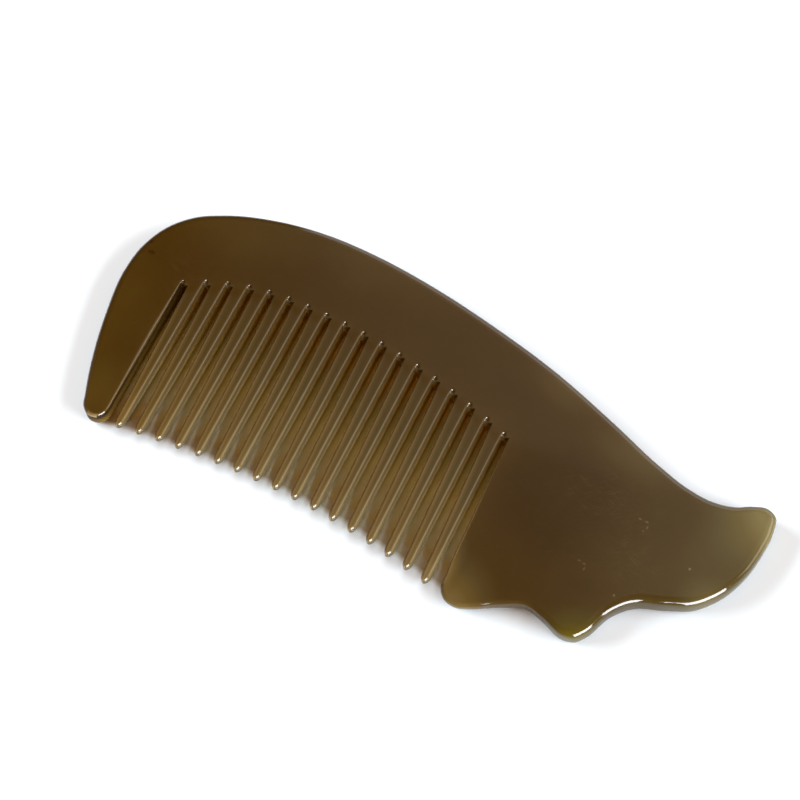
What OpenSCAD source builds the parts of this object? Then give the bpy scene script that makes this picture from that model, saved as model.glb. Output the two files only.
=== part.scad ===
// Horn comb in one piece: a rounded head with a guard tooth at the left, a row of
// sawn teeth, and a body that runs out into a fin and a broad tail at the right.
// It lies on its face. X runs along the comb, the teeth point to -Y, Z is up.

/* [Body] */
// overall length, head to tail
comb_l = 149.7; // [120:0.1:180]
// overall height, back to lowest corner
comb_h = 67.1; // [56:0.1:80]
// thickness of the horn
body_t = 4.8; // [3.6:0.1:6]
// radius of the rounded rim
rim_r = 1.2; // [0.6:0.1:1.3]
// how much thinner the tail end is, on each face
tail_thin = 0.3; // [0:0.05:0.6]

/* [Teeth] */
// number of teeth between the head guard and the body
teeth = 17; // [10:1:22]
// width of a slot at its closed end
slot_w = 1.7; // [1:0.1:2]
// width of a tooth at its tip
tip_w = 2; // [1.6:0.1:2.4]
// thickness of a tooth at its tip
tip_t = 1.9; // [1.4:0.1:3]
// length of the rounded end of a tooth
tip_l = 1.8; // [1.2:0.1:4]
// how much of the teeth's thinning the head guard has
guard_thin = 0.35; // [0:0.05:1]
// radius of the rounded tooth edges
edge_r = 0.45; // [0.2:0.05:0.5]
// length of the pointed run-out past each slot
runout_l = 1.6; // [0.8:0.1:3]
// depth of that run-out
runout_d = 1; // [0.5:0.1:1.4]

/* [Quality] */
// steps along the outline between two of its points
steps = 3; // [2:1:5]
// steps round the rim, from wall to face
rim_steps = 3; // [1:1:4]

/* [Hidden] */
horn = "#5e4a26";

// the outline is drawn at 149.7 x 67.1 mm, from the left end and the lowest corner
kx = comb_l / 149.7;
ky = comb_h / 67.1;

// tooth row
row_a = 13.3 * kx;
row_b = 93.2 * kx;
slots = teeth + 1;
pitch = (row_b - row_a - slot_w) / teeth;
wall_n = 3;
tip_n = 5;

// outline, counterclockwise from the last slot
slot_side = [[93.2, 28], [93.3, 17], [93.5, 6]];
belly = [
    [93.8, 2.4], [95.2, 0.7], [98, 0], [101, 1], [106, 3.7], [111, 5.5], [115, 4.4],
    [120, 2.6], [122.5, 3.1], [124, 4.8], [127, 11], [130, 14.1], [136, 16.4],
    [141, 18.5], [145, 22.5], [148, 28.5], [149.4, 35]
];
tail = [
    [149.7, 40], [149, 43], [147, 44], [144, 43.3], [141, 41.8], [136, 41], [131, 41.7],
    [124, 44], [112, 49.2]
];
back = [[96, 55.6], [80, 60.4], [64, 64.2], [50, 66.4], [38, 67.1], [26, 66.1], [14, 62.8]];
head = [[8, 59.7], [3.5, 55], [0.7, 48.5]];
guard = [[0, 42], [1.5, 30.5], [4.8, 17.5], [6.8, 12], [8, 9.2], [9.8, 7.9]];
guard_side = [[12, 8.2], [12.95, 9.3], [13.3, 11], [13.3, 13], [13.3, 31]];

// height of the arch at x: top at mid, and its drop at the two ends of the row
function arch(x, mid, top, drop_a, drop_b) =
    let (u = min(max(x, row_a), row_b) - mid)
    top - (u < 0 ? drop_a * pow(u / (mid - row_a), 2) : drop_b * pow(u / (row_b - mid), 2));

function root_y(x) = arch(x, 36 * kx, 48.7 * ky, 5.7 * ky, 11.7 * ky);
function tip_y(x) = arch(x, 39.5 * kx, 9.05 * ky, 1.1 * ky, 7.75 * ky);

// left wall of slot s, counted from 1, and the height of its closed end
function slot_x(s) = row_a + (s - 1) * pitch;
function slot_y(s) = root_y(slot_x(s) + slot_w / 2);

// half thickness: full above the slot ends, wedged down to the tooth tips,
// less so at the guard, the wedge fading out past the fin
function unit(u) = min(max(u, 0), 1);
function ease(u) = unit(u) * unit(u) * (3 - 2 * unit(u));
function wedge(x, y) =
    unit((root_y(x) - y) / (root_y(x) - tip_y(x))) * (1 - ease((x / kx - 95) / 37))
    * (x < row_a + slot_w / 2 ? guard_thin : 1);
function half_t(x, y) =
    body_t / 2 - (body_t - tip_t) / 2 * wedge(x, y)
    - tail_thin * pow(unit((x / kx - 130) / 20), 2);

// smooth curve through the points of p, n steps to each span
function slope(p, i) =
    let (a = p[max(i - 1, 0)], b = p[i], c = p[min(i + 1, len(p) - 1)],
         u = norm(b - a), v = norm(c - b))
    u == 0 ? (c - b) / v : v == 0 ? (b - a) / u
    : ((b - a) / u * v + (c - b) / v * u) / (u + v);
function span(p, i, t) =
    let (d = norm(p[i + 1] - p[i]), s = ease(t))
    p[i] * (1 - s) + p[i + 1] * s
    + slope(p, i) * d * t * pow(1 - t, 2) - slope(p, i + 1) * d * t * t * (1 - t);
function curve(p, n) = [
    for (i = [0:len(p) - 2]) for (j = [0:n - 1]) span(p, i, j / n),
    p[len(p) - 1]
];
function sized(p, r) = [for (q = p) [q.x * kx, q.y * ky, r]];

outer = curve(concat(
    [[row_b, slot_y(slots), edge_r]],
    sized(slot_side, edge_r), sized(belly, rim_r), sized(tail, rim_r), sized(back, rim_r),
    sized(head, rim_r), sized(guard, rim_r), sized(guard_side, edge_r),
    [[row_a, slot_y(1), edge_r]]
), steps);
outer_n = len(outer);

// a loop point: wall point, face point, depth of the rounding between them
function rim_point(i) =
    let (d = outer[i + 1] - outer[i - 1], q = outer[i], r = rounding(q),
         side = [-d.y, d.x] / norm([d.x, d.y]))
    [[q.x, q.y], [q.x, q.y] + side * r, r];
function rounding(q) = min(q[2], 0.85 * half_t(q.x, q.y));

// the square end of slot s: its two corners and the run-out between them
function corner(s, side) =
    let (x = slot_x(s) + (side < 0 ? 0 : slot_w), y = slot_y(s))
    [[x, y], [x + side * edge_r, y + edge_r], edge_r];
function runout(s) =
    let (x = slot_x(s) + slot_w / 2, y = slot_y(s))
    [[x, y], [x, y + runout_l], runout_d];

// tooth s: down its left wall, round the tip, up its right wall
function tooth_wall(s, side, f) =
    let (x = slot_x(s) + (pitch + slot_w) / 2, y = slot_y(side < 0 ? s : s + 1),
         w = (pitch - slot_w) * (1 - f) / 2 + tip_w * f / 2,
         p = [x + side * w, y + (tip_y(x) + tip_l - y) * f])
    [p, p - [side * edge_r, 0], edge_r];
function tooth_tip(s, a) =
    let (x = slot_x(s) + (pitch + slot_w) / 2, c = [x, tip_y(x) + tip_l],
         w = tip_w / 2, u = [cos(a), sin(a)])
    [c + [w * u.x, tip_l * u.y], c + [(w - edge_r) * u.x, (tip_l - edge_r) * u.y], edge_r];
function tooth(s) = concat(
    [for (k = [1:wall_n]) tooth_wall(s, -1, k / wall_n)],
    [for (k = [1:tip_n]) tooth_tip(s, 180 + 180 * k / (tip_n + 1))],
    [for (k = [wall_n:-1:1]) tooth_wall(s, 1, k / wall_n)]
);

loop = concat(
    [corner(slots, 1)],
    [for (i = [1:outer_n - 2]) rim_point(i)],
    [for (s = [1:slots]) each concat(
        [corner(s, -1), runout(s)],
        s < slots ? concat([corner(s, 1)], tooth(s)) : []
    )]
);
loop_n = len(loop);

// where things are in the loop
tooth_step = 3 + 2 * wall_n + tip_n;
function left_of(s) = outer_n - 1 + (s - 1) * tooth_step;
function right_of(s) = s < slots ? left_of(s) + 2 : 0;
at_tail = steps * (1 + len(slot_side) + len(belly));
at_back = at_tail + steps * len(tail);
at_crown = at_back + steps * (len(back) - 1);
at_guard = at_back + steps * (len(back) + len(head));
at_tip = at_guard + steps * (len(guard) - 1);

// rings of points from the lower face round the wall to the upper face
ring_a = concat(
    [for (k = [rim_steps:-1:0]) [-1, 90 * k / rim_steps]],
    [for (k = [0:rim_steps]) [1, 90 * k / rim_steps]]
);
function ring(side, a) = [
    for (q = loop)
        let (p = q[0] + (q[1] - q[0]) * (1 - cos(a)), h = half_t(q[0].x, q[0].y))
        [p.x, p.y, body_t / 2 + side * (h - q[2] * (1 - sin(a)))]
];
rings = len(ring_a);

// ridge where the body's face starts to fall away to the belly
ridge = [for (x = [98:7:140]) [x * kx, (37 - (x - 93) * 0.06) * ky]];
function ridge_points(side) =
    [for (q = ridge) [q.x, q.y, body_t / 2 + side * half_t(q.x, q.y)]];

// triangles between two rows of points that run side by side
function strip(a, b, i = 0, j = 0) =
    i == len(a) - 1 && j == len(b) - 1 ? []
    : j == len(b) - 1 || (i < len(a) - 1 && (i + 1) * (len(b) - 1) <= (j + 1) * (len(a) - 1))
    ? concat([[a[i], a[i + 1], b[j]]], strip(a, b, i + 1, j))
    : concat([[a[i], b[j + 1], b[j]]], strip(a, b, i, j + 1));

// the face: teeth, the band above the slots, the body over and under its ridge,
// the head and the guard. Points from loop_n on are the ridge.
ridge_row = concat([0], [for (i = [0:len(ridge) - 1]) loop_n + i]);
tip_mid = wall_n + (tip_n - 1) / 2;
face = concat(
    [for (s = [1:teeth]) each strip(
        [for (j = [0:tip_mid + 1]) right_of(s) + j],
        [for (j = [0:tip_mid]) left_of(s + 1) - j]
    )],
    strip(
        [for (s = [1:slots]) each [left_of(s), left_of(s) + 1, right_of(s)]],
        [for (i = [at_crown:-1:at_back]) i]
    ),
    strip(ridge_row, [for (i = [at_back:-1:at_tail]) i]),
    strip([for (i = [1:at_tail]) i], ridge_row),
    [for (i = [at_crown:at_guard - 1]) [left_of(1), i, i + 1]],
    strip([for (i = [at_guard:at_tip]) i], [for (i = [left_of(1):-1:at_tip + 1]) i])
);

// a face index as a point index, on the lower (0) or upper (1) face
function on_face(i, up) =
    i < loop_n ? i + (up ? (rings - 1) * loop_n : 0)
    : i - loop_n + rings * loop_n + (up ? len(ridge) : 0);

module comb() {
    points = concat(
        [for (r = ring_a) each ring(r[0], r[1])],
        ridge_points(-1),
        ridge_points(1)
    );
    wall = [
        for (k = [0:rings - 2]) for (i = [0:loop_n - 1])
            let (a = k * loop_n + i, b = k * loop_n + (i + 1) % loop_n)
            each [[a, a + loop_n, b + loop_n], [a, b + loop_n, b]]
    ];
    lower = [for (t = face) [for (i = t) on_face(i, false)]];
    upper = [for (t = face) [for (i = [2, 1, 0]) on_face(t[i], true)]];
    color(horn)
        translate([-comb_l / 2, -comb_h / 2, 0])
            polyhedron(points, concat(wall, lower, upper), convexity = 10);
}

comb();
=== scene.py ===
import math
import bpy
from mathutils import Matrix, Vector, geometry, kdtree


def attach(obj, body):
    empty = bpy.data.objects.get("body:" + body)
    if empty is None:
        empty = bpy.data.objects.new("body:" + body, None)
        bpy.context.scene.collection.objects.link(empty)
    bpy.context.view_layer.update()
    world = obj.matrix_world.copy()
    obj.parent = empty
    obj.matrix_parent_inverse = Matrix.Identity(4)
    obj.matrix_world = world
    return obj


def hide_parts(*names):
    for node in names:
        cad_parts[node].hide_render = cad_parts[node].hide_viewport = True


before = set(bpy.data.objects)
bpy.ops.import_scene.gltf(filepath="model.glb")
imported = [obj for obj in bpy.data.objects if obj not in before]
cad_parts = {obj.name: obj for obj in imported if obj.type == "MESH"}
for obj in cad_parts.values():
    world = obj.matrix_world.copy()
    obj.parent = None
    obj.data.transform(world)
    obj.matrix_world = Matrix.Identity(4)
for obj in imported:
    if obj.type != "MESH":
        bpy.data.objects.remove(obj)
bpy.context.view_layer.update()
mm = 0.001
scene = bpy.context.scene


def linearColour(code):
    # "#rrggbb" as a screen shows it, to the linear values that shaders work in
    parts = [int(code[i:i + 2], 16) / 255 for i in (1, 3, 5)]
    return [p / 12.92 if p <= 0.04045 else ((p + 0.055) / 1.055) ** 2.4 for p in parts] + [1.0]


def addNode(tree, kind, inputs=None, **settings):
    # one node: its settings, and for each input a value, or the node or socket that feeds it.
    # Inputs that are left out keep the node's own values, such as 0 to 1 for a range
    node = tree.nodes.new(kind)
    for name, value in settings.items():
        setattr(node, name, value)
    for key, value in (inputs or {}).items():
        if isinstance(value, bpy.types.Node):
            value = value.outputs[0]
        if isinstance(value, bpy.types.NodeSocket):
            tree.links.new(value, node.inputs[key])
        else:
            node.inputs[key].default_value = value
    return node


def startTree(name, inputs, outputs):
    # a geometry tree with its named inputs and outputs, and the sockets that its inputs come from
    tree = bpy.data.node_groups.new(name, "GeometryNodeTree")
    for label, kind in inputs.items():
        tree.interface.new_socket(name=label, in_out="INPUT", socket_type="NodeSocket" + kind)
    for label, kind in outputs.items():
        tree.interface.new_socket(name=label, in_out="OUTPUT", socket_type="NodeSocket" + kind)
    return tree, addNode(tree, "NodeGroupInput").outputs


def runTree(obj, tree, values):
    # sets the modifier's inputs by identifier, and keeps the result as a plain mesh
    modifier = obj.modifiers.new(tree.name, "NODES")
    modifier.node_group = tree
    for item in tree.interface.items_tree:
        if item.in_out == "INPUT" and item.name in values:
            modifier[item.identifier] = values[item.name]
    obj.update_tag()
    bpy.context.view_layer.update()
    evaluated = obj.evaluated_get(bpy.context.evaluated_depsgraph_get())
    mesh = bpy.data.meshes.new_from_object(evaluated)
    obj.modifiers.remove(modifier)
    obj.data = mesh


# the comb is drawn from the head's left end and the lowest corner
planSize = {
    "length": 149.7 * mm,
    "height": 67.1 * mm,
    "rimWidth": 1.8 * mm,
    "rimDrop": 1.25 * mm,
    # radii in mm at the first outline keys of a stretch, where the rim is narrower
    "slotSideRadii": (0.3, 0.45, 0.55),
    "bellyRadii": (0.75, 0.75, 0.8, 0.8, 0.8, 0.9, 1.1, 1.4),
    "guardRadii": (1.8, 1.6, 1.4, 1.1, 0.8, 0.6),
    "guardSideRadii": (0.45, 0.4, 0.35, 0.35, 0.6),
    # and the most that a radius may be, as a share of the half thickness
    "rimLimit": 0.85,
    # steps from one outline key to the next, across a slot's end, and down the start of a tooth
    "spanSteps": 9,
    "slotSteps": 10,
    "stubSteps": 6,
    # net of the face, and as shares of its spacing: from row to row, and free along the border
    "faceSpacing": 1.5 * mm,
    "faceRow": 0.866,
    "faceBorder": 0.55,
    # finer net at each notch: its rows, its columns to each side, and the circle that it replaces
    "notchSpacing": 0.1 * mm,
    "notchRows": 15,
    "notchColumns": 13,
    "notchCircle": 2.2 * mm,
    "netTolerance": 1e-7,
}

# inputs of the node trees
formSize = {
    "Body thickness": 4.8 * mm,
    "Tip thickness": 1.9 * mm,
    "Wedge fade from": 95 * mm,
    "Wedge fade to": 132 * mm,
    "Guard thinning": 0.35,
    "Tail thinning": 0.3 * mm,
    "Tail from": 130 * mm,
    "Tail to": 150 * mm,
    "Teeth": 17,
    "Row start": 13.3 * mm,
    "Row end": 93.2 * mm,
    "Slot width": 1.7 * mm,
    "Tip width": 2.0 * mm,
    "Tip length": 1.8 * mm,
    "Edge radius": 0.6 * mm,
    "Slot end radius": 0.15 * mm,
    "Edge growth": 0.5,
    "Edge flatness": 1.4,
    "Flat edge up to": 0.6 * mm,
    "Round edge from": 1.2 * mm,
    "Sawn edge up to": 0.7 * mm,
    "Face margin": 0.1 * mm,
    "Root crest": 48.7 * mm,
    "Root crest at": 36 * mm,
    "Root drop head": 5.7 * mm,
    "Root drop tail": 11.7 * mm,
    "Tip crest": 9.05 * mm,
    "Tip crest at": 39.5 * mm,
    "Tip drop head": 1.1 * mm,
    "Tip drop tail": 7.75 * mm,
    "Notch length": 0.9 * mm,
    "Notch half width": 0.6 * mm,
    "Notch aside": -0.45 * mm,
    "Notch lift": 0.3 * mm,
    "Notch rounding": 0.3 * mm,
    "Notch depth": 0.3 * mm,
    "Notch end depth": 0.2 * mm,
    "Unevenness": 0.1,
    "Unevenness scale": 220.0,
    "Stub share": 0.04,
    "Wall steps": 24,
    "Tip steps": 14,
    "Rim steps": 6,
    "Weld distance": 0.004 * mm,
}

# outline keys, counterclockwise from the last slot, in mm
slotSideKeys = [(93.2, 28), (93.3, 17), (93.5, 6)]
bellyKeys = [
    (93.8, 2.4), (95.2, 0.7), (98, 0), (101, 1), (106, 3.7), (111, 5.5), (115, 4.4), (120, 2.6),
    (122.5, 3.1), (124, 4.8), (127, 11), (130, 14.1), (136, 16.4), (141, 18.5), (145, 22.5),
    (148, 28.5), (149.4, 35),
]
tailKeys = [
    (149.7, 40), (149, 43), (147, 44), (144, 43.3), (141, 41.8), (136, 41), (131, 41.7),
    (124, 44), (112, 49.2),
]
backKeys = [(96, 55.6), (80, 60.4), (64, 64.2), (50, 66.4), (38, 67.1), (26, 66.1), (14, 62.8)]
headKeys = [(8, 59.7), (3.5, 55), (0.7, 48.5)]
guardKeys = [(0, 42), (1.5, 30.5), (4.8, 17.5), (6.8, 12), (8, 9.2), (9.8, 7.9)]
guardSideKeys = [(12, 8.2), (12.95, 9.3), (13.3, 11), (13.3, 13), (13.3, 31)]

teeth = formSize["Teeth"]
rowStart = formSize["Row start"]
rowEnd = formSize["Row end"]
slotWidth = formSize["Slot width"]
edgeRadius = formSize["Edge radius"]
slotEndRadius = formSize["Slot end radius"]
pitch = (rowEnd - rowStart - slotWidth) / teeth


def archHeight(x, name):
    # height of the arch through the slot ends ("Root") or the tooth tips ("Tip")
    crest, at = formSize[name + " crest"], formSize[name + " crest at"]
    x = min(max(x, rowStart), rowEnd)
    if x < at:
        return crest - formSize[name + " drop head"] * ((at - x) / (at - rowStart)) ** 2
    return crest - formSize[name + " drop tail"] * ((x - at) / (rowEnd - at)) ** 2


def share(value, low, high):
    return min(max((value - low) / (high - low), 0), 1)


def smooth(u):
    return u * u * (3 - 2 * u)


def halfThickness(x, y):
    # full above the slot ends, wedged down to the tips, a little thinner at the tail
    root, tip = archHeight(x, "Root"), archHeight(x, "Tip")
    wedge = share(y, root, tip)
    wedge *= 1 - smooth(share(x, formSize["Wedge fade from"], formSize["Wedge fade to"]))
    if x < rowStart + slotWidth / 2:
        wedge *= formSize["Guard thinning"]
    thin = formSize["Tail thinning"] * share(x, formSize["Tail from"], formSize["Tail to"]) ** 2
    full, slim = formSize["Body thickness"], formSize["Tip thickness"]
    return full / 2 - (full - slim) / 2 * wedge - thin


def curveThrough(keys, steps):
    # cubic through the keys, each slope weighted by the lengths on its two sides
    keys = [Vector(key) for key in keys]
    slopes = []
    for i, b in enumerate(keys):
        a, c = keys[max(i - 1, 0)], keys[min(i + 1, len(keys) - 1)]
        u, v = (b - a).length, (c - b).length
        before = (b - a) / u if u else (c - b) / v
        after = (c - b) / v if v else before
        slopes.append((before * v + after * u) / (u + v))
    line = []
    for i in range(len(keys) - 1):
        a, b = keys[i], keys[i + 1]
        for j in range(steps):
            t = j / steps
            bend = slopes[i] * t * (1 - t) ** 2 - slopes[i + 1] * t * t * (1 - t)
            line.append(a.lerp(b, smooth(t)) + bend * (b - a).length)
    return line + [keys[-1]]


def slotLeft(slot):
    return rowStart + (slot - 1) * pitch


def slotEnd(slot):
    return archHeight(slotLeft(slot) + slotWidth / 2, "Root")


def edgeAt(f):
    # the file took off more towards the tips: f runs from 0 at a slot's end to 1 at the tip
    return slotEndRadius + (edgeRadius - slotEndRadius) * f ** formSize["Edge growth"]


# a wall point is x, y, the way in from it (x, y), and how wide its edge is rounded
def slotPoints(slot):
    points, steps = [], planSize["slotSteps"]
    for k in range(steps + 1):
        u = 2 * k / steps - 1
        x = slotLeft(slot) + slotWidth * (u + 1) / 2
        points.append((x, slotEnd(slot), u, 1.0, slotEndRadius))
    return points


def stubPoints(tooth, side):
    # a tooth's wall from its slot's corner down to where the tooth row takes over
    y = slotEnd(tooth if side < 0 else tooth + 1)
    middle = slotLeft(tooth) + (pitch + slotWidth) / 2
    centre = archHeight(middle, "Tip") + formSize["Tip length"]
    points, steps = [], planSize["stubSteps"]
    for k in range(1, steps + 1):
        f = formSize["Stub share"] * k / steps
        half = ((pitch - slotWidth) * (1 - f) + formSize["Tip width"] * f) / 2
        points.append((middle + side * half, y + (centre - y) * f, -side, 0.0, edgeAt(f)))
    return points


def rimPoints():
    rim = planSize["rimWidth"] / mm
    keys = [(rowEnd / mm, slotEnd(teeth + 1) / mm, slotEndRadius / mm)]
    for stretch, radii in (
            (slotSideKeys, planSize["slotSideRadii"]), (bellyKeys, planSize["bellyRadii"]),
            (tailKeys + backKeys + headKeys, ()), (guardKeys, planSize["guardRadii"]),
            (guardSideKeys, planSize["guardSideRadii"])):
        keys += [key + (radius,) for key, radius in zip(stretch, radii + (rim,) * len(stretch))]
    keys.append((rowStart / mm, slotEnd(1) / mm, slotEndRadius / mm))
    line = curveThrough(keys, planSize["spanSteps"])
    points = []
    for i in range(1, len(line) - 1):
        along = (line[i + 1] - line[i - 1]).to_2d().normalized()
        x, y, radius = line[i] * mm
        points.append((x, y, -along.y, along.x, min(radius, planSize["rimLimit"] * halfThickness(x, y))))
    return points


def bodyPlan():
    # the flat plan of all but the teeth: strips along the walls, then a net of triangles inside
    steps, margin = formSize["Rim steps"], formSize["Face margin"]
    walls = [stubPoints(teeth, 1)[::-1] + slotPoints(teeth + 1) + rimPoints()
             + slotPoints(1) + stubPoints(1, -1)]
    for slot in range(2, teeth + 1):
        walls.append(stubPoints(slot - 1, 1)[::-1] + slotPoints(slot) + stubPoints(slot, -1))
    vertices, faces, gaps, radii, drops, ring = [], [], [], [], [], []
    for number, wall in enumerate(walls):
        first = len(vertices)
        for x, y, inX, inY, radius in wall:
            for k in range(steps + 2):
                gap = radius * (1 - math.cos(math.pi / 2 * k / steps)) if k <= steps else radius + margin
                vertices.append((x + inX * gap, y + inY * gap, 0))
                gaps.append(gap)
                radii.append(radius)
                wider = max(radius - edgeRadius, 0) / (planSize["rimWidth"] - edgeRadius)
                drops.append(radius + (planSize["rimDrop"] - planSize["rimWidth"]) * wider)
        for i in range(len(wall) - 1):
            for k in range(steps + 1):
                a = first + i * (steps + 2) + k
                faces.append((a, a + steps + 2, a + steps + 3, a + 1))
        inner = [Vector(vertices[first + (i + 1) * (steps + 2) - 1]) for i in range(len(wall))]
        if number:
            ring.append((ring[-1] + inner[0]) / 2)
        ring += inner
    ring.append((ring[-1] + ring[0]) / 2)
    near = kdtree.KDTree(len(ring))
    for i, point in enumerate(ring):
        near.insert(point, i)
    near.balance()
    pace, rowShare, inside = planSize["faceSpacing"], planSize["faceRow"], []
    for row in range(int(planSize["height"] / pace / rowShare) + 1):
        for column in range(int(planSize["length"] / pace) + 1):
            spot = Vector(((column + 0.5 * (row % 2)) * pace, row * pace * rowShare, 0))
            if near.find(spot)[2] > planSize["faceBorder"] * pace:
                inside.append(spot)
    fine = planSize["notchSpacing"]
    for slot in range(1, teeth + 2):
        corner = Vector((slotLeft(slot) + slotWidth / 2, slotEnd(slot) + slotEndRadius + margin + fine, 0))
        inside = [spot for spot in inside if (spot - corner).length > planSize["notchCircle"]]
        for row in range(planSize["notchRows"]):
            for column in range(-planSize["notchColumns"], planSize["notchColumns"] + 1):
                inside.append(corner + Vector((column * fine, row * fine, 0)))
    edges = [(i, (i + 1) % len(ring)) for i in range(len(ring))]
    net = geometry.delaunay_2d_cdt([point.to_2d() for point in ring + inside], edges, [], 1,
                                   planSize["netTolerance"])
    used = {old: len(vertices) + new for new, old in enumerate(sorted({i for t in net[2] for i in t}))}
    vertices += [tuple(net[0][i]) + (0,) for i in sorted(used)]
    # the net's points count as a metre from the wall, so that no rounding reaches them
    gaps += [1.0] * len(used)
    radii += [planSize["rimWidth"]] * len(used)
    drops += [planSize["rimDrop"]] * len(used)
    faces += [[used[i] for i in triangle] for triangle in net[2]]
    mesh = bpy.data.meshes.new("body plan")
    mesh.from_pydata(vertices, [], faces)
    for name, values in (("gap", gaps), ("radius", radii), ("drop", drops)):
        mesh.attributes.new(name, "FLOAT", "POINT").data.foreach_set("value", values)
    return mesh


sizeSockets = {name: "Int" if isinstance(value, int) else "Float" for name, value in formSize.items()}
archSockets = ("crest", "crest at", "drop head", "drop tail")


def archOf(given, name, x):
    # inputs of the arch tree for the arch called "Root" or "Tip"
    wires = {label: given[name + " " + label] for label in archSockets}
    return wires | {"x": x, "from": given["Row start"], "to": given["Row end"]}


def archTree():
    labels = ("x", "from", "to") + archSockets
    tree, given = startTree("arch height", {label: "Float" for label in labels}, {"height": "Float"})
    head = addNode(tree, "ShaderNodeMapRange",
                   {0: given["x"], 1: given["from"], 2: given["crest at"], 3: 1.0, 4: 0.0})
    tail = addNode(tree, "ShaderNodeMapRange", {0: given["x"], 1: given["crest at"], 2: given["to"]})
    height = given["crest"]
    for part, drop in ((head, "drop head"), (tail, "drop tail")):
        square = addNode(tree, "ShaderNodeMath", {0: part, 1: part}, operation="MULTIPLY")
        loss = addNode(tree, "ShaderNodeMath", {0: square, 1: given[drop]}, operation="MULTIPLY")
        height = addNode(tree, "ShaderNodeMath", {0: height, 1: loss}, operation="SUBTRACT")
    addNode(tree, "NodeGroupOutput", {0: height})
    return tree


def slotNodes(tree, given):
    # middle of the first slot, and the distance from one slot to the next
    first = addNode(tree, "ShaderNodeMath", {0: given["Slot width"], 1: 0.5, 2: given["Row start"]},
                    operation="MULTIPLY_ADD")
    step = given["Row end"]
    for kind, name in (("SUBTRACT", "Row start"), ("SUBTRACT", "Slot width"), ("DIVIDE", "Teeth")):
        step = addNode(tree, "ShaderNodeMath", {0: step, 1: given[name]}, operation=kind)
    return first, step


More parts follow.
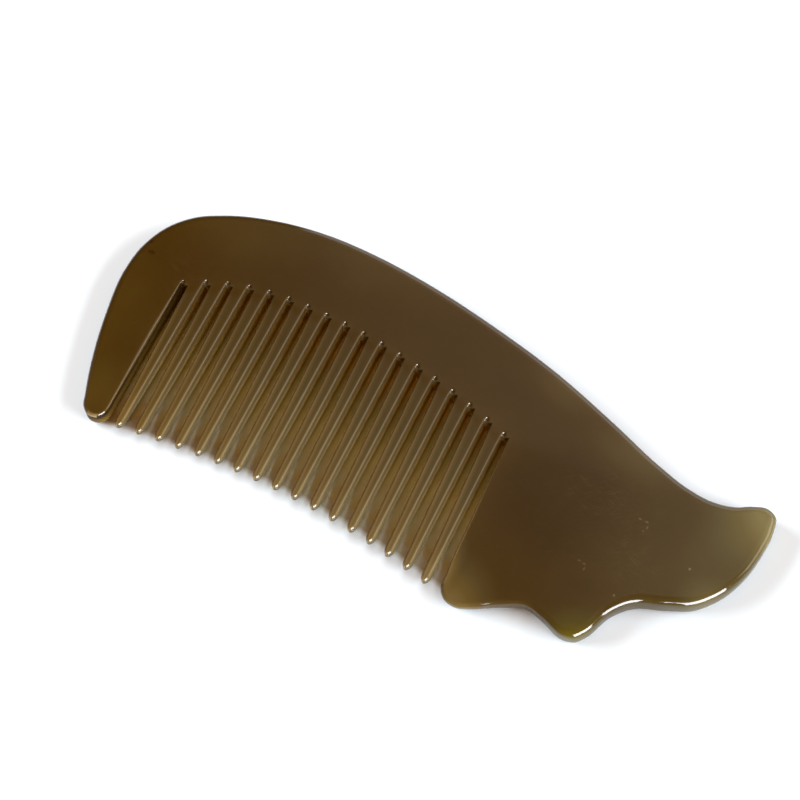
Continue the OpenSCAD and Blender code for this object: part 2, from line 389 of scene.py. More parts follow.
def toothRowTree(arch):
    # one net, wrapped round its middle line from the left wall over the tip to the right wall,
    # then set out once for each tooth and stretched between the two arches
    tree, given = startTree("tooth row", sizeSockets, {"plan": "Geometry"})
    pathSteps = addNode(tree, "ShaderNodeMath", {0: given["Wall steps"], 1: 2.0, 2: given["Tip steps"]},
                        operation="MULTIPLY_ADD")
    pathCount = addNode(tree, "ShaderNodeMath", {0: pathSteps, 1: 1.0}, operation="ADD")
    # inwards: the rim's steps, one over the margin beside it, and one to the middle line
    marginStep, ringSteps, ringCount = [
        addNode(tree, "ShaderNodeMath", {0: given["Rim steps"], 1: more}, operation="ADD")
        for more in (1.0, 2.0, 3.0)]
    net = addNode(tree, "GeometryNodeMeshGrid", {0: pathSteps, 1: ringSteps, 2: pathCount, 3: ringCount})
    line = addNode(tree, "GeometryNodeMeshLine", {"Count": given["Teeth"], "Offset": (0, 0, 0)})
    line = addNode(tree, "GeometryNodeStoreNamedAttribute",
                   {0: line, "Name": "tooth", "Value": addNode(tree, "GeometryNodeInputIndex")})
    row = addNode(tree, "GeometryNodeInstanceOnPoints", {"Points": line, "Instance": net})
    row = addNode(tree, "GeometryNodeRealizeInstances", {0: row})
    tooth = addNode(tree, "GeometryNodeInputNamedAttribute", {"Name": "tooth"})
    # steps along the wall and in from it
    place = addNode(tree, "GeometryNodeInputPosition")
    x, y = addNode(tree, "ShaderNodeSeparateXYZ", {0: place}).outputs[:2]
    along, inward = [
        addNode(tree, "ShaderNodeMath", {0: steps, 1: 0.5, 2: way}, operation="MULTIPLY_ADD")
        for steps, way in ((pathSteps, x), (ringSteps, y))]
    back = addNode(tree, "ShaderNodeMath", {0: pathSteps, 1: along}, operation="SUBTRACT")
    nearest = addNode(tree, "ShaderNodeMath", {0: along, 1: back}, operation="MINIMUM")
    down = addNode(tree, "ShaderNodeMapRange", {0: nearest, 2: given["Wall steps"], 3: given["Stub share"]})
    end = addNode(tree, "ShaderNodeMath", {0: given["Wall steps"], 1: given["Tip steps"]}, operation="ADD")
    turn = addNode(tree, "ShaderNodeMapRange",
                   {0: along, 1: given["Wall steps"], 2: end, 3: math.pi, 4: 2 * math.pi})
    # from the wall to the face: the rounded edge, then the margin
    rim = addNode(tree, "ShaderNodeMapRange", {0: inward, 2: given["Rim steps"], 4: math.pi / 2})
    rim = addNode(tree, "ShaderNodeMath", {0: rim}, operation="COSINE")
    rim = addNode(tree, "ShaderNodeMath", {0: 1.0, 1: rim}, operation="SUBTRACT")
    margin = addNode(tree, "ShaderNodeMapRange",
                     {0: inward, 1: given["Rim steps"], 2: marginStep, 4: given["Face margin"]})
    growth = addNode(tree, "ShaderNodeMath", {0: down, 1: given["Edge growth"]}, operation="POWER")
    edge = addNode(tree, "ShaderNodeMix", {0: growth, 2: given["Slot end radius"], 3: given["Edge radius"]})
    gap = addNode(tree, "ShaderNodeMath", {0: rim, 1: edge, 2: margin}, operation="MULTIPLY_ADD")
    # the last step inwards is the middle line, where the two sides meet
    core = addNode(tree, "ShaderNodeMapRange", {0: inward, 1: marginStep, 2: ringSteps})
    shell = addNode(tree, "ShaderNodeMath", {0: 1.0, 1: core}, operation="SUBTRACT")
    ways = []
    for kind in ("COSINE", "SINE"):
        way = addNode(tree, "ShaderNodeMath", {0: turn}, operation=kind)
        ways.append(addNode(tree, "ShaderNodeMath", {0: way, 1: shell}, operation="MULTIPLY"))
    across, below = ways
    # the ends of the two slots beside the tooth, and its own middle and tip
    first, step = slotNodes(tree, given)
    left = addNode(tree, "ShaderNodeMath", {0: tooth, 1: step, 2: first}, operation="MULTIPLY_ADD")
    right = addNode(tree, "ShaderNodeMath", {0: left, 1: step}, operation="ADD")
    middle = addNode(tree, "ShaderNodeMath", {0: step, 1: 0.5, 2: left}, operation="MULTIPLY_ADD")
    leftRoot, rightRoot, tip = [
        addNode(tree, "GeometryNodeGroup", archOf(given, name, x), node_tree=arch)
        for x, name in ((left, "Root"), (right, "Root"), (middle, "Tip"))]
    centre = addNode(tree, "ShaderNodeMath", {0: tip, 1: given["Tip length"]}, operation="ADD")
    side = addNode(tree, "ShaderNodeMath", {0: across, 1: 0.5, 2: 0.5}, operation="MULTIPLY_ADD")
    root = addNode(tree, "ShaderNodeMix", {0: side, 2: leftRoot, 3: rightRoot})
    level = addNode(tree, "ShaderNodeMix", {0: down, 2: root, 3: centre})
    rootWidth = addNode(tree, "ShaderNodeMath", {0: step, 1: given["Slot width"]}, operation="SUBTRACT")
    width = addNode(tree, "ShaderNodeMix", {0: down, 2: rootWidth, 3: given["Tip width"]})
    half = addNode(tree, "ShaderNodeMath", {0: width, 1: 0.5}, operation="MULTIPLY")
    reach = addNode(tree, "ShaderNodeMath", {0: half, 1: gap}, operation="SUBTRACT")
    drop = addNode(tree, "ShaderNodeMath", {0: given["Tip length"], 1: gap}, operation="SUBTRACT")
    x = addNode(tree, "ShaderNodeMath", {0: across, 1: reach, 2: middle}, operation="MULTIPLY_ADD")
    y = addNode(tree, "ShaderNodeMath", {0: below, 1: drop, 2: level}, operation="MULTIPLY_ADD")
    place = addNode(tree, "ShaderNodeCombineXYZ", {0: x, 1: y, 2: 0.0})
    gap = addNode(tree, "ShaderNodeMath", {0: gap, 1: core}, operation="ADD")
    for name, value in (("gap", gap), ("radius", edge), ("drop", edge)):
        row = addNode(tree, "GeometryNodeStoreNamedAttribute", {0: row, "Name": name, "Value": value})
    row = addNode(tree, "GeometryNodeSetPosition", {0: row, "Position": place})
    addNode(tree, "NodeGroupOutput", {0: row})
    return tree


def roundNodes(tree, out, bend):
    # fall of a rounded edge as it goes out, 0 to 1: a quarter circle for a bend of 2
    left = addNode(tree, "ShaderNodeMath", {0: out, 1: bend}, operation="POWER")
    left = addNode(tree, "ShaderNodeMath", {0: 1.0, 1: left}, operation="SUBTRACT")
    root = addNode(tree, "ShaderNodeMath", {0: 1.0, 1: bend}, operation="DIVIDE")
    left = addNode(tree, "ShaderNodeMath", {0: left, 1: root}, operation="POWER")
    return addNode(tree, "ShaderNodeMath", {0: 1.0, 1: left}, operation="SUBTRACT")


def depthTree(arch):
    # how far the face stands from the middle of the plate: wedge, tail, rounded edge and notch
    tree, given = startTree("face height", sizeSockets, {"half": "Float", "height": "Float"})
    place = addNode(tree, "GeometryNodeInputPosition")
    x, y = addNode(tree, "ShaderNodeSeparateXYZ", {0: place}).outputs[:2]
    root, tip = [addNode(tree, "GeometryNodeGroup", archOf(given, name, x), node_tree=arch)
                 for name in ("Root", "Tip")]
    down = addNode(tree, "ShaderNodeMapRange", {0: y, 1: root, 2: tip})
    fade = addNode(tree, "ShaderNodeMapRange",
                   {0: x, 1: given["Wedge fade from"], 2: given["Wedge fade to"], 3: 0.5, 4: 0.0},
                   interpolation_type="SMOOTHSTEP")
    wedge = addNode(tree, "ShaderNodeMath", {0: down, 1: fade}, operation="MULTIPLY")
    first, step = slotNodes(tree, given)
    guard = addNode(tree, "ShaderNodeMath", {0: x, 1: first}, operation="LESS_THAN")
    guard = addNode(tree, "ShaderNodeMix", {0: guard, 2: 1.0, 3: given["Guard thinning"]})
    wedge = addNode(tree, "ShaderNodeMath", {0: wedge, 1: guard}, operation="MULTIPLY")
    slim = addNode(tree, "ShaderNodeMath", {0: given["Body thickness"], 1: given["Tip thickness"]},
                   operation="SUBTRACT")
    loss = addNode(tree, "ShaderNodeMath", {0: slim, 1: wedge}, operation="MULTIPLY")
    tail = addNode(tree, "ShaderNodeMapRange", {0: x, 1: given["Tail from"], 2: given["Tail to"]})
    tail = addNode(tree, "ShaderNodeMath", {0: tail, 1: 2.0}, operation="POWER")
    loss = addNode(tree, "ShaderNodeMath", {0: tail, 1: given["Tail thinning"], 2: loss},
                   operation="MULTIPLY_ADD")
    half = addNode(tree, "ShaderNodeMath", {0: given["Body thickness"], 1: 0.5}, operation="MULTIPLY")
    half = addNode(tree, "ShaderNodeMath", {0: half, 1: loss}, operation="SUBTRACT")
    # from the wall to the face: a quarter of an ellipse round the rim, flatter along the teeth,
    # where the file took the edge off, and a little uneven
    gap, radius, drop = [addNode(tree, "GeometryNodeInputNamedAttribute", {"Name": name})
                         for name in ("gap", "radius", "drop")]
    out = addNode(tree, "ShaderNodeMapRange", {0: gap, 2: radius, 3: 1.0, 4: 0.0})
    bend = addNode(tree, "ShaderNodeMapRange", {
        0: radius, 1: given["Flat edge up to"], 2: given["Round edge from"],
        3: given["Edge flatness"], 4: 2.0})
    waves = addNode(tree, "ShaderNodeTexNoise", {"Scale": given["Unevenness scale"], "Detail": 1.0})
    waves = addNode(tree, "ShaderNodeMath", {0: waves, 1: 0.5}, operation="SUBTRACT")
    waves = addNode(tree, "ShaderNodeMath", {0: waves, 1: given["Unevenness"], 2: 1.0},
                    operation="MULTIPLY_ADD")
    drop = addNode(tree, "ShaderNodeMath", {0: drop, 1: waves}, operation="MULTIPLY")
    fall = addNode(tree, "ShaderNodeMath", {0: roundNodes(tree, out, bend), 1: drop}, operation="MULTIPLY")
    # the saw's run-out past the nearest slot: a small bowl, which the buffing wheel has rounded
    slot = x
    for kind, value in (("SUBTRACT", first), ("DIVIDE", step), ("ROUND", 0.0), ("MAXIMUM", 0.0),
                        ("MINIMUM", given["Teeth"])):
        slot = addNode(tree, "ShaderNodeMath", {0: slot, 1: value}, operation=kind)
    middle = addNode(tree, "ShaderNodeMath", {0: slot, 1: step, 2: first}, operation="MULTIPLY_ADD")
    end = addNode(tree, "GeometryNodeGroup", archOf(given, "Root", middle), node_tree=arch)
    past = addNode(tree, "ShaderNodeMath", {0: y, 1: end}, operation="SUBTRACT")
    past = addNode(tree, "ShaderNodeMath", {0: past, 1: given["Notch lift"]}, operation="SUBTRACT")
    over = addNode(tree, "ShaderNodeMapRange", {0: past, 2: given["Notch length"]})
    aside = x
    for kind, value in (("SUBTRACT", middle), ("SUBTRACT", given["Notch aside"]),
                        ("DIVIDE", given["Notch half width"])):
        aside = addNode(tree, "ShaderNodeMath", {0: aside, 1: value}, operation=kind)
    reach = addNode(tree, "ShaderNodeCombineXYZ", {0: aside, 1: over})
    reach = addNode(tree, "ShaderNodeVectorMath", {0: reach}, operation="LENGTH")
    into = addNode(tree, "ShaderNodeMath", {0: 1.0, 1: reach.outputs["Value"]}, operation="SUBTRACT")
    into = addNode(tree, "ShaderNodeMath", {0: into, 1: given["Notch half width"]}, operation="MULTIPLY")
    into = addNode(tree, "ShaderNodeMapRange", {0: into, 2: given["Notch rounding"]})
    flank = addNode(tree, "ShaderNodeMath", {0: roundNodes(tree, into, 2.0), 1: given["Notch rounding"]},
                    operation="MULTIPLY")
    ramp = addNode(tree, "ShaderNodeMapRange",
                   {0: over, 3: given["Notch depth"], 4: given["Notch end depth"]})
    bowl = addNode(tree, "ShaderNodeMath", {0: flank, 1: ramp}, operation="MINIMUM")
    fall = addNode(tree, "ShaderNodeMath", {0: fall, 1: bowl}, operation="MAXIMUM")
    height = addNode(tree, "ShaderNodeMath", {0: half, 1: fall}, operation="SUBTRACT")
    addNode(tree, "NodeGroupOutput", {"half": half, "height": height})
    return tree


def combTree():
    arch = archTree()
    tree, given = startTree("comb form", {"body": "Geometry", "material": "Material", "shift": "Vector"}
                            | sizeSockets, {"comb": "Geometry"})
    sizes = {name: given[name] for name in formSize}
    row = addNode(tree, "GeometryNodeGroup", sizes, node_tree=toothRowTree(arch))
    plan = addNode(tree, "GeometryNodeJoinGeometry", {0: given["body"]})
    tree.links.new(row.outputs[0], plan.inputs[0])
    plan = addNode(tree, "GeometryNodeMergeByDistance", {0: plan, "Distance": given["Weld distance"]})
    # distance to the nearest wall, thickness, and what the saw cut, which the horn's look follows
    edges = addNode(tree, "GeometryNodeInputMeshEdgeNeighbors")
    single = addNode(tree, "FunctionNodeCompare", {2: edges, 3: 1}, data_type="INT", operation="EQUAL")
    walls = addNode(tree, "GeometryNodeSeparateGeometry", {0: plan, 1: single}, domain="EDGE")
    nearest = addNode(tree, "GeometryNodeProximity", {0: walls}, target_element="EDGES")
    depths = addNode(tree, "GeometryNodeGroup", sizes, node_tree=depthTree(arch))
    thickness = addNode(tree, "ShaderNodeMath", {0: depths.outputs["half"], 1: 2.0}, operation="MULTIPLY")
    radius = addNode(tree, "GeometryNodeInputNamedAttribute", {"Name": "radius"})
    sawn = addNode(tree, "ShaderNodeMath", {0: radius, 1: given["Sawn edge up to"]}, operation="LESS_THAN")
    for name, value in (("wallDistance", nearest.outputs["Distance"]), ("thickness", thickness),
                        ("sawn", sawn)):
        plan = addNode(tree, "GeometryNodeStoreNamedAttribute", {0: plan, "Name": name, "Value": value})
    # the walls come from the plan's border, the lower face from the plan turned over
    raised = addNode(tree, "GeometryNodeExtrudeMesh", {0: plan, "Offset Scale": 0.0, "Individual": False})
    lower = addNode(tree, "GeometryNodeFlipFaces", {0: plan})
    middle = addNode(tree, "ShaderNodeMath", {0: given["Body thickness"], 1: 0.5}, operation="MULTIPLY")
    up, down = [addNode(tree, "ShaderNodeMath", {0: middle, 1: depths.outputs["height"]}, operation=kind)
                for kind in ("ADD", "SUBTRACT")]
    level = addNode(tree, "GeometryNodeSwitch", {0: raised.outputs["Top"], 1: down, 2: up},
                    input_type="FLOAT")
    upper, lower = [
        addNode(tree, "GeometryNodeSetPosition",
                {0: part, "Offset": addNode(tree, "ShaderNodeCombineXYZ", {2: height})})
        for part, height in ((raised, level), (lower, down))]
    comb = addNode(tree, "GeometryNodeJoinGeometry", {0: upper})
    tree.links.new(lower.outputs[0], comb.inputs[0])
    comb = addNode(tree, "GeometryNodeMergeByDistance", {0: comb, "Distance": given["Weld distance"]})
    comb = addNode(tree, "GeometryNodeSetPosition", {0: comb, "Offset": given["shift"]})
    comb = addNode(tree, "GeometryNodeSetShadeSmooth", {0: comb})
    comb = addNode(tree, "GeometryNodeRealizeInstances", {0: comb})
    comb = addNode(tree, "GeometryNodeSetMaterial", {0: comb, "Material": given["material"]})
    addNode(tree, "NodeGroupOutput", {0: comb})
    return tree


hornLook = {
    # colour of the horn by how clear it is, from dense to honey clear
    "depths": [(0.0, "#231905"), (0.25, "#2c220c"), (0.5, "#36301b"), (0.75, "#443c21"), (1.0, "#554f34")],
    # redder at the head, greener at the tail: place along the comb in mm, and tint
    "tints": [(5, "#ffd87c"), (42, "#ffecd8"), (112, "#ffecd8"), (132, "#fffff0")],
    "greenTint": "#f1f995",
    # clearness of the body, and the teeth's gain by a power of their thinness, a painted glow of light
    # through the thin horn
    "bodyClear": 0.22,
    "toothGlow": 0.65,
    "toothPower": 1.3,
    # a faint blue-green painted reflection over the sawn teeth
    "toothSheen": "#000708",
    # painted glow along every edge, of light through the thin horn, fading over these mm
    "edgeGlow": 0.15,
    "edgeDepth": 0.9,
    # painted light on the side of each tooth that looks to the head, which draws that side lighter, in full
    # once the tooth is this thin
    "paintedHeadSideColour": "#947e58",
    "paintedHeadSideShare": 0.9,
    "paintedHeadSideDepth": 0.35,
    "paintedHeadSideThin": 0.5,
    "cloudClear": 0.22,
    "cloudScale": 0.07,  # one noise cell in 14 mm, so clouds 10 to 20 mm across
    # slot walls, which reach this many mm in
    "wallThick": "#563f0d",
    "wallThin": "#6f694c",
    "wallReach": 0.04,
    # mm under the face: where they glow less and more, and where the wall's upper edge on the head side,
    # left to the painted light, ends
    "glowDepths": (1.2, 4.0),
    "glow": (0.35, 6.0),
    "paintedLitEdgeDepths": (0.6, 1.0),
    "guardWallShade": 0.28,
    "guardWallSpecular": 0.1,
    # saw marks in mm: really about 0.5 apart, drawn coarser so that they show
    "sawMarkSpacing": 0.7,
    "sawMarkDepth": 0.03,
    "sawMarkShades": (0.35, 1.6),
    # hairline scratches
    "scratchColour": "#7d6c50",
    "scratchRuns": ((25, 0), (-38, 40)),  # angle, and place in the noise
    "scratchSqueeze": (0.25, 8, 1),  # of the noise, along and across
    "scratchLimits": (0.6, 0.72),  # of the noise, where a hair starts and is full
    "scratchEverywhere": 0.12,
    "scratchStrength": 0.3,
    "inner": "#e0b070",
    "innerShare": 0.1,
    "roughness": 0.06,
    "sawnRoughness": 0.5,
    "specular": 0.5,
    "ior": 1.54,
}

# clearer and denser places: x, y, half length and half height on the plan in mm, and the gain in clearness
# the gains at the guard's tip, the lowest corner, the fin's tip and the tail's tip are painted glow, for
# light through the thin horn there
hornPatches = [
    (10, 13, 9, 12, 0.25), (3, 32, 16, 32, 0.22), (16, 60, 26, 14, 0.2), (52, 66, 40, 14, 0.15),
    (100, 53, 14, 9, 0.26), (117, 44, 16, 9, 0.28), (108, 30, 22, 20, -0.33), (91, 47, 12, 8, -0.1),
    (97, 1, 11, 12, 0.65), (93.5, 8, 3, 8, 0.4), (122, 2, 9, 10, 0.4), (143, 20, 8, 7, 0.35),
    (119, 13, 7, 6, -0.1), (142, 30, 13, 12, 0.16), (150, 43, 20, 17, 0.85),
]

# places where the horn is greener, given in the same way with the share of that tint
hornGreens = [(97, 3, 10, 9, 0.1), (122, 4, 10, 9, 1.0)]

# small dark flecks and pale specks in the horn, given in the same way
hornFlecks = [
    (3.9, 47.7, 1.0, 0.5, -4.0), (2.4, 50.1, 0.7, 0.4, -2.0), (33.3, 13.5, 0.5, 0.3, -1.5),
    (137.6, 25.2, 0.4, 0.4, 1.0), (126.1, 14.1, 0.4, 0.4, 0.8), (124.6, 31.3, 0.6, 0.28, 0.8),
    (126.1, 31.2, 0.6, 0.28, 0.8), (126.6, 30.1, 0.28, 0.7, 0.8), (126.1, 29.1, 0.5, 0.3, 0.6),
    (116.9, 18.3, 0.6, 0.28, 0.7), (118.1, 18.0, 0.5, 0.3, 0.7), (118.5, 17.0, 0.28, 0.7, 0.7),
]

# where handling has left hairline scratches
hornScratches = [(126, 23, 9, 8, 0.6), (117, 33, 14, 11, 0.4), (136, 41, 8, 4, 0.4), (14, 47, 8, 5, 0.3)]


def spotNodes(tree, plan, spots, value):
    # adds soft oval spots to a value
    for x, y, halfLength, halfHeight, gain in spots:
        away = addNode(tree, "ShaderNodeVectorMath", {0: plan, 1: (x, y, 0)}, operation="SUBTRACT")
        away = addNode(tree, "ShaderNodeVectorMath", {0: away, 1: (halfLength, halfHeight, 1)},
                       operation="DIVIDE")
        away = addNode(tree, "ShaderNodeVectorMath", {0: away}, operation="LENGTH").outputs["Value"]
        spot = addNode(tree, "ShaderNodeMapRange", {0: away, 1: 0.0, 2: 1.0, 3: gain, 4: 0.0},
                       interpolation_type="SMOOTHSTEP")
        value = addNode(tree, "ShaderNodeMath", {0: value, 1: spot}, operation="ADD")
    return value


def planPlace(tree):
    # where a point lies on the comb's plan, in mm from the head's left end and the lowest corner
    place = addNode(tree, "ShaderNodeTexCoord").outputs["Object"]
    return addNode(tree, "ShaderNodeVectorMath", {
        0: place, 1: (1 / mm, 1 / mm, 1 / mm),
        2: (planSize["length"] / mm / 2, planSize["height"] / mm / 2, 0)}, operation="MULTIPLY_ADD")


def fillRamp(ramp, stops):
    # gives a colour ramp its stops, which run from 0 to 1
    elements = ramp.color_ramp.elements
    while len(elements) < len(stops):
        elements.new(1.0)
    for element, (place, code) in zip(elements, stops):
        element.position = place
        element.color = linearColour(code)
    return ramp.outputs["Color"]


def polishedHorn():
    # cow horn, sawn and buffed: a glassy brown skin over a cloudy body that glows where it is thin
    material = bpy.data.materials.new("polished horn")
    material.use_nodes = True
    tree = material.node_tree
    tree.nodes.clear()
    place = planPlace(tree)
    plan = addNode(tree, "ShaderNodeVectorMath", {0: place, 1: (1, 1, 0)}, operation="MULTIPLY")
    x, y, z = addNode(tree, "ShaderNodeSeparateXYZ", {0: place}).outputs
    thickness, distance, sawn = [addNode(tree, "ShaderNodeAttribute", attribute_name=name).outputs["Fac"]
                                 for name in ("thickness", "wallDistance", "sawn")]
    thin = addNode(tree, "ShaderNodeMapRange", {
        0: thickness, 1: formSize["Body thickness"], 2: formSize["Tip thickness"]})
    wall = addNode(tree, "ShaderNodeMapRange", {0: distance, 2: hornLook["wallReach"] * mm, 3: 1.0, 4: 0.0})
    wall = addNode(tree, "ShaderNodeMath", {0: sawn, 1: wall}, operation="MULTIPLY")
    # full at an edge and fading with the distance from it
    fades = []
    for depth in (hornLook["edgeDepth"], hornLook["paintedHeadSideDepth"]):
        fade = addNode(tree, "ShaderNodeMath", {0: distance, 1: -1 / mm / depth}, operation="MULTIPLY")
        fades.append(addNode(tree, "ShaderNodeMath", {0: fade}, operation="EXPONENT"))
    near, paintedHeadSide = fades
    # how clear the horn is, with painted glow where it is thin: the teeth towards their tips, every edge a
    # little; then patches, clouds and flecks
    tooth = addNode(tree, "ShaderNodeMath", {0: thin, 1: hornLook["toothPower"]}, operation="POWER")
    tooth = addNode(tree, "ShaderNodeMath", {0: tooth, 1: sawn}, operation="MULTIPLY")
    clouds = addNode(tree, "ShaderNodeTexNoise",
                     {"Vector": place, "Scale": hornLook["cloudScale"], "Detail": 3.0})
    clouds = addNode(tree, "ShaderNodeMath", {0: clouds, 1: 0.5}, operation="SUBTRACT")
    clear = hornLook["bodyClear"]
    for part, gain in ((tooth, "toothGlow"), (near, "edgeGlow"), (clouds, "cloudClear")):
        clear = addNode(tree, "ShaderNodeMath", {0: part, 1: hornLook[gain], 2: clear},
                        operation="MULTIPLY_ADD")
    clear = spotNodes(tree, plan, hornPatches + hornFlecks, clear)
    # painted light: the side of a tooth that looks to the head is drawn lighter
    firstSlot = (rowStart + slotWidth / 2) / mm
    half = x
    for kind, value in (("SUBTRACT", firstSlot), ("DIVIDE", pitch / mm), ("FRACT", 0.0),
                        ("LESS_THAN", 0.5), ("MULTIPLY", sawn)):
        half = addNode(tree, "ShaderNodeMath", {0: half, 1: value}, operation=kind)
    below = addNode(tree, "ShaderNodeMapRange",
                    {0: thin, 2: hornLook["paintedHeadSideThin"], 4: hornLook["paintedHeadSideShare"]})
    for part in (half, below):
        paintedHeadSide = addNode(tree, "ShaderNodeMath", {0: paintedHeadSide, 1: part}, operation="MULTIPLY")
    # saw marks on the walls. A wave texture of scale 1 repeats every 0.314
    slant = addNode(tree, "ShaderNodeMath", {0: y, 1: z}, operation="ADD")
    marks = addNode(tree, "ShaderNodeTexWave", {
        "Vector": addNode(tree, "ShaderNodeCombineXYZ", {0: slant, 1: x}),
        "Scale": 0.314 / hornLook["sawMarkSpacing"], "Distortion": 1.0, "Detail": 2.0})
    marks = marks.outputs["Fac"]
    low, high = hornLook["sawMarkShades"]
    shade = addNode(tree, "ShaderNodeMapRange", {0: marks, 3: low, 4: high})
    # deep in a slot the light has come through the horn, so the wall stays bright down to the table
    middle = formSize["Body thickness"] / mm / 2
    depth = addNode(tree, "ShaderNodeMath", {0: thickness, 1: 0.5 / mm, 2: middle},
                    operation="MULTIPLY_ADD")
    depth = addNode(tree, "ShaderNodeMath", {0: depth, 1: z}, operation="SUBTRACT")
    (start, end), (low, high) = hornLook["glowDepths"], hornLook["glow"]
    glow = addNode(tree, "ShaderNodeMapRange", {0: depth, 1: start, 2: end, 3: low, 4: high})
    # on the side that looks to the head the wall's upper edge takes no wall colour, so that side's painted
    # light shows there
    start, end = hornLook["paintedLitEdgeDepths"]
    paintedLitEdge = addNode(tree, "ShaderNodeMapRange", {0: depth, 1: start, 2: end, 3: 1.0, 4: 0.0})
    paintedLitEdge = addNode(tree, "ShaderNodeMath", {0: paintedLitEdge, 1: half}, operation="MULTIPLY")
    paintedLitEdge = addNode(tree, "ShaderNodeMath", {0: 1.0, 1: paintedLitEdge}, operation="SUBTRACT")
    wall = addNode(tree, "ShaderNodeMath", {0: wall, 1: paintedLitEdge}, operation="MULTIPLY")
    # the head guard is thick and dense: its wall takes a darker painted glow and is duller
    guard = addNode(tree, "ShaderNodeMath", {0: x, 1: firstSlot}, operation="LESS_THAN")
    dull = addNode(tree, "ShaderNodeMath", {0: guard, 1: wall}, operation="MULTIPLY")
    dull = addNode(tree, "ShaderNodeMapRange",
                   {0: dull, 3: hornLook["specular"], 4: hornLook["guardWallSpecular"]})
    guard = addNode(tree, "ShaderNodeMapRange", {0: guard, 3: 1.0, 4: hornLook["guardWallShade"]})
    for part in (glow, guard):
        shade = addNode(tree, "ShaderNodeMath", {0: shade, 1: part}, operation="MULTIPLY")
    # light seeps out of the walls where the teeth are thin
    thin = addNode(tree, "ShaderNodeMath", {0: thin, 1: thin}, operation="MULTIPLY")
    wallColour = linearColour(hornLook["wallThick"])
    for part, tint, blend in ((thin, linearColour(hornLook["wallThin"]), "MIX"), (1.0, shade, "MULTIPLY")):
        wallColour = addNode(tree, "ShaderNodeMix", {0: part, 6: wallColour, 7: tint}, data_type="RGBA",
                             blend_type=blend).outputs[2]
    # hairline scratches in two directions, 5 to 10 mm long and drawn about 0.1 mm wide
    hairs = 0.0
    start, end = hornLook["scratchLimits"]
    for angle, offset in hornLook["scratchRuns"]:
        lines = addNode(tree, "ShaderNodeVectorRotate", {"Vector": plan, "Angle": math.radians(angle)},
                        rotation_type="Z_AXIS")
        lines = addNode(tree, "ShaderNodeVectorMath",
                        {0: lines, 1: hornLook["scratchSqueeze"], 2: (offset, 0, offset)},
                        operation="MULTIPLY_ADD")
        lines = addNode(tree, "ShaderNodeTexNoise", {"Vector": lines, "Scale": 1.0, "Detail": 2.0})
        lines = addNode(tree, "ShaderNodeMapRange", {0: lines, 1: start, 2: end})
        hairs = addNode(tree, "ShaderNodeMath", {0: hairs, 1: lines}, operation="MAXIMUM")
    for part in (spotNodes(tree, plan, hornScratches, hornLook["scratchEverywhere"]),
                 hornLook["scratchStrength"]):
        hairs = addNode(tree, "ShaderNodeMath", {0: hairs, 1: part}, operation="MULTIPLY")
    # the colours laid over one another
    colour = fillRamp(addNode(tree, "ShaderNodeValToRGB", {0: clear}), hornLook["depths"])
    length = planSize["length"] / mm
    along = addNode(tree, "ShaderNodeMath", {0: x, 1: length}, operation="DIVIDE")
    along = fillRamp(addNode(tree, "ShaderNodeValToRGB", {0: along}),
                     [(stop / length, code) for stop, code in hornLook["tints"]])
    for part, tint, blend in (
            (1.0, along, "MULTIPLY"),
            (spotNodes(tree, plan, hornGreens, 0.0), linearColour(hornLook["greenTint"]), "MULTIPLY"),
            # painted reflection over the sawn teeth
            (sawn, linearColour(hornLook["toothSheen"]), "ADD"),
            # painted light on the side of each tooth that looks to the head
            (paintedHeadSide, linearColour(hornLook["paintedHeadSideColour"]), "MIX"),
            (wall, wallColour, "MIX"),
            (hairs, linearColour(hornLook["scratchColour"]), "MIX")):
        colour = addNode(tree, "ShaderNodeMix", {0: part, 6: colour, 7: tint}, data_type="RGBA",
                         blend_type=blend).outputs[2]
    rough = addNode(tree, "ShaderNodeMapRange",
                    {0: wall, 3: hornLook["roughness"], 4: hornLook["sawnRoughness"]})
    rough = addNode(tree, "ShaderNodeMath", {0: rough, 1: hairs}, operation="ADD")
    relief = addNode(tree, "ShaderNodeMath", {0: marks, 1: wall}, operation="MULTIPLY")
    relief = addNode(tree, "ShaderNodeMath", {0: relief, 1: hairs}, operation="SUBTRACT")
    relief = addNode(tree, "ShaderNodeBump", {
        "Height": relief, "Strength": 1.0, "Distance": hornLook["sawMarkDepth"] * mm})
    skin = addNode(tree, "ShaderNodeBsdfPrincipled", {
        "Base Color": colour, "Roughness": rough, "IOR": hornLook["ior"],
        "Specular IOR Level": dull, "Normal": relief})
    inner = addNode(tree, "ShaderNodeBsdfTranslucent", {"Color": linearColour(hornLook["inner"])})
    shader = addNode(tree, "ShaderNodeMixShader", {0: hornLook["innerShare"], 1: skin, 2: inner})
    addNode(tree, "ShaderNodeOutputMaterial", {0: shader})
    return material


print("sizes and trees ready")
comb = bpy.data.objects.new("hornComb", bodyPlan())
scene.collection.objects.link(comb)
shift = (-planSize["length"] / 2, -planSize["height"] / 2, 0)
runTree(comb, combTree(), formSize | {"material": polishedHorn(), "shift": shift})
for name in ("gap", "radius", "drop", "tooth"):
    comb.data.attributes.remove(comb.data.attributes[name])
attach(comb, "root")
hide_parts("comb")
print("comb made:", len(comb.data.vertices), "points,", len(comb.data.polygons), "faces")

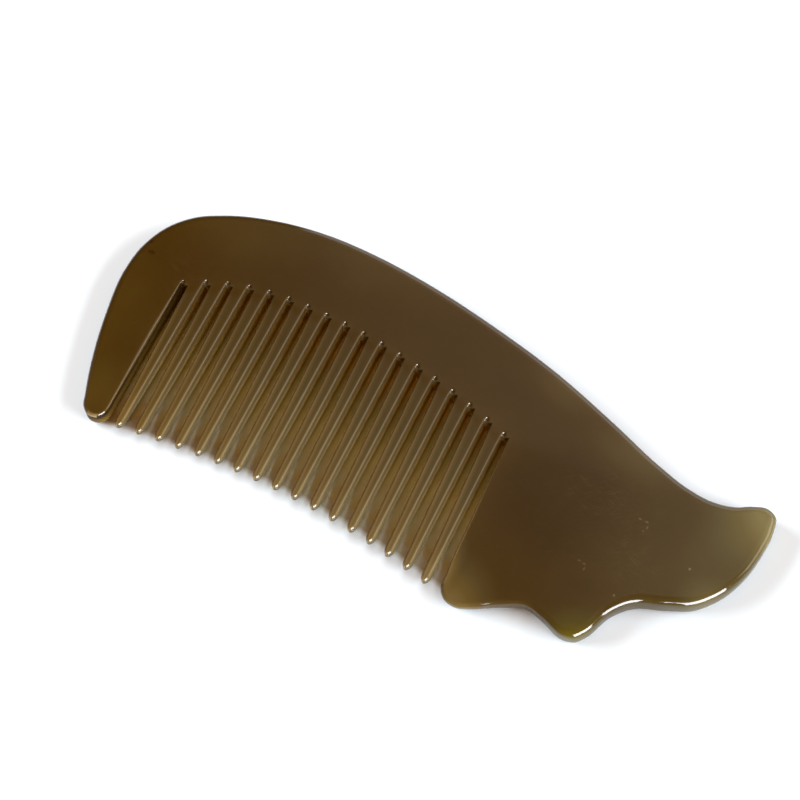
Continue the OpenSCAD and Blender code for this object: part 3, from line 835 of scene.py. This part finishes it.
# studio: a dim, warm room round a table of white paper
studio = {
    "floorSide": 3.0,
    "floorColour": "#dcdcdc",
    "floorRoughness": 0.8,
    "floorSpecular": 0.1,
    # painted amber light under the teeth: its colours between two heights on the plan in mm, which the
    # slope brings down to the right, in a strip to each side of its middle and up to its top
    "amber": [(0.0, "#dcdcdc"), (0.2, "#e7f5f3"), (0.5, "#f3f6d0"), (0.77, "#ced7ad"), (0.9, "#cec597"),
              (1.0, "#e5ce79")],
    "amberHeights": (13, 48),
    "amberSlope": 0.1,
    "amberMiddle": 53,
    "amberHalf": 42,
    "amberTop": 52,
    # the comb's painted shade, between two heights on the plan at the middle, bent like the line of the
    # tips
    "shade": [(0.0, "#ffffff"), (0.15, "#c5b395"), (0.5, "#f7e8c8"), (1.0, "#ffffff")],
    "shadeHeights": (10.4, 19.2),
    "shadeMiddle": 40,
    "shadeBend": 0.0026,
    "roomColour": "#ffbc60",
    "roomLight": 0.38,
    # where the ceiling's light starts to fade and where it is gone, as shares of its side
    "ceilingFade": (0.264, 0.5),
}

# azimuth and elevation in degrees, distance, width and height in metres, brightness, tint, what it lights
lamps = {
    "window": (-35, 30, 1.2, 1.0, 0.7, 24, "#f8faff", "comb"),
    "sidePanel": (27, 32, 1.2, 0.8, 0.45, 3.4, "#fff6f0", "comb"),
    "backPanel": (85, 20, 1.2, 1.2, 0.75, 1.6, "#fff8f2", "comb"),
    "ceiling": (75, 48, 3.0, 4.36, 4.36, 0.7, "#fff3e0", "comb"),
    "leftGlow": (188, 28, 1.2, 0.8, 0.8, 0.25, "#fff0dc", "comb"),
    "paperLight": (8, 24, 1.5, 1.4, 0.7, 20, "#dff1ff", "floor"),
    "paperFill": (188, 24, 1.5, 1.4, 0.7, 20, "#dff1ff", "floor"),
}

# white paper, with painted amber light between the teeth where light has come through the horn, and painted
# shade along the tips
material = bpy.data.materials.new("white paper")
material.use_nodes = True
tree = material.node_tree
tree.nodes.clear()
x, y = addNode(tree, "ShaderNodeSeparateXYZ", {0: planPlace(tree)}).outputs[:2]
level = addNode(tree, "ShaderNodeMath", {0: x, 1: studio["amberSlope"], 2: y}, operation="MULTIPLY_ADD")
start, end = studio["amberHeights"]
level = addNode(tree, "ShaderNodeMapRange", {0: level, 1: start, 2: end})
amber = fillRamp(addNode(tree, "ShaderNodeValToRGB", {0: level}), studio["amber"])
# height over the bent line of the tips, for the painted shade
over = addNode(tree, "ShaderNodeMath", {0: x, 1: studio["shadeMiddle"]}, operation="SUBTRACT")
over = addNode(tree, "ShaderNodeMath", {0: over, 1: over}, operation="MULTIPLY")
over = addNode(tree, "ShaderNodeMath", {0: over, 1: studio["shadeBend"], 2: y}, operation="MULTIPLY_ADD")
start, end = studio["shadeHeights"]
over = addNode(tree, "ShaderNodeMapRange", {0: over, 1: start, 2: end})
shade = fillRamp(addNode(tree, "ShaderNodeValToRGB", {0: over}), studio["shade"])
amber = addNode(tree, "ShaderNodeMix", {0: 1.0, 6: amber, 7: shade}, data_type="RGBA",
                blend_type="MULTIPLY").outputs[2]
under = addNode(tree, "ShaderNodeMath", {0: x, 1: studio["amberMiddle"], 2: studio["amberHalf"]},
                operation="COMPARE")
short = addNode(tree, "ShaderNodeMath", {0: y, 1: studio["amberTop"]}, operation="LESS_THAN")
under = addNode(tree, "ShaderNodeMath", {0: under, 1: short}, operation="MULTIPLY")
amber = addNode(tree, "ShaderNodeMix", {0: under, 6: linearColour(studio["floorColour"]), 7: amber},
                data_type="RGBA").outputs[2]
paper = addNode(tree, "ShaderNodeBsdfPrincipled", {
    "Base Color": amber, "Roughness": studio["floorRoughness"],
    "Specular IOR Level": studio["floorSpecular"]})
addNode(tree, "ShaderNodeOutputMaterial", {0: paper})
side = studio["floorSide"]
floorMesh = bpy.data.meshes.new("floor")
floorMesh.from_pydata([(-side, -side, 0), (side, -side, 0), (side, side, 0), (-side, side, 0)], [],
                      [(0, 1, 2, 3)])
floorMesh.materials.append(material)
floor = bpy.data.objects.new("floor", floorMesh)
scene.collection.objects.link(floor)

world = bpy.data.worlds.new("studio")
world.use_nodes = True
sky = world.node_tree
sky.nodes.clear()
room = addNode(sky, "ShaderNodeBackground", {0: linearColour(studio["roomColour"]), 1: studio["roomLight"]})
addNode(sky, "ShaderNodeOutputWorld", {0: room})
scene.world = world

# the lamps that give the horn its gloss leave the paper alone, so that the gaps stay in shade
lit = {}
for name, piece in (("comb", comb), ("floor", floor)):
    lit[name] = bpy.data.collections.new("lit " + name)
    lit[name].objects.link(piece)

for name, (azimuth, elevation, distance, width, height, brightness, tint, target) in lamps.items():
    lamp = bpy.data.lights.new(name, "AREA")
    lamp.shape = "RECTANGLE"
    lamp.size, lamp.size_y = width, height
    lamp.energy = math.pi * width * height * brightness
    lamp.color = linearColour(tint)[:3]
    holder = bpy.data.objects.new(name, lamp)
    around, up = math.radians(azimuth), math.radians(elevation)
    way = Vector((math.cos(up) * math.cos(around), math.cos(up) * math.sin(around), math.sin(up)))
    holder.location = way * distance
    holder.rotation_euler = way.to_track_quat("Z", "Y").to_euler()
    holder.light_linking.receiver_collection = lit[target]
    scene.collection.objects.link(holder)
    if name == "ceiling":
        # brightest in the middle and gone at its border, for a soft sheen across the face
        lamp.use_nodes = True
        glow = lamp.node_tree
        glow.nodes.clear()
        middle, (full, gone) = (0.5, 0.5, 0), studio["ceilingFade"]
        spread = addNode(glow, "ShaderNodeNewGeometry").outputs["Parametric"]
        spread = addNode(glow, "ShaderNodeVectorMath", {0: spread, 1: middle}, operation="DISTANCE")
        spread = addNode(glow, "ShaderNodeMapRange",
                         {0: spread.outputs["Value"], 1: full, 2: gone, 3: 1.0, 4: 0.0})
        addNode(glow, "ShaderNodeOutputLight", {0: addNode(glow, "ShaderNodeEmission", {1: spread})})
print("studio lit")

# the camera that was worked out from the straight, evenly spaced teeth
view = {
    "place": (102.24 * mm, -165.89 * mm, 391.7 * mm),
    "right": (0.902446, 0.425632, -0.066553),
    "up": (-0.352151, 0.817817, 0.455154),
    "back": (0.248156, -0.387315, 0.887922),
    "lens": 94.5,
    "sensor": 36,
    "nearest": 0.01,
}
cameraData = bpy.data.cameras.new("photoView")
cameraData.lens = view["lens"]
cameraData.sensor_width = view["sensor"]
cameraData.clip_start = view["nearest"]
camera = bpy.data.objects.new("photoView", cameraData)
facing = Matrix((view["right"], view["up"], view["back"])).transposed()
camera.matrix_world = Matrix.Translation(view["place"]) @ facing.to_4x4()
scene.collection.objects.link(camera)
scene.camera = camera
scene.view_settings.view_transform = "Standard"
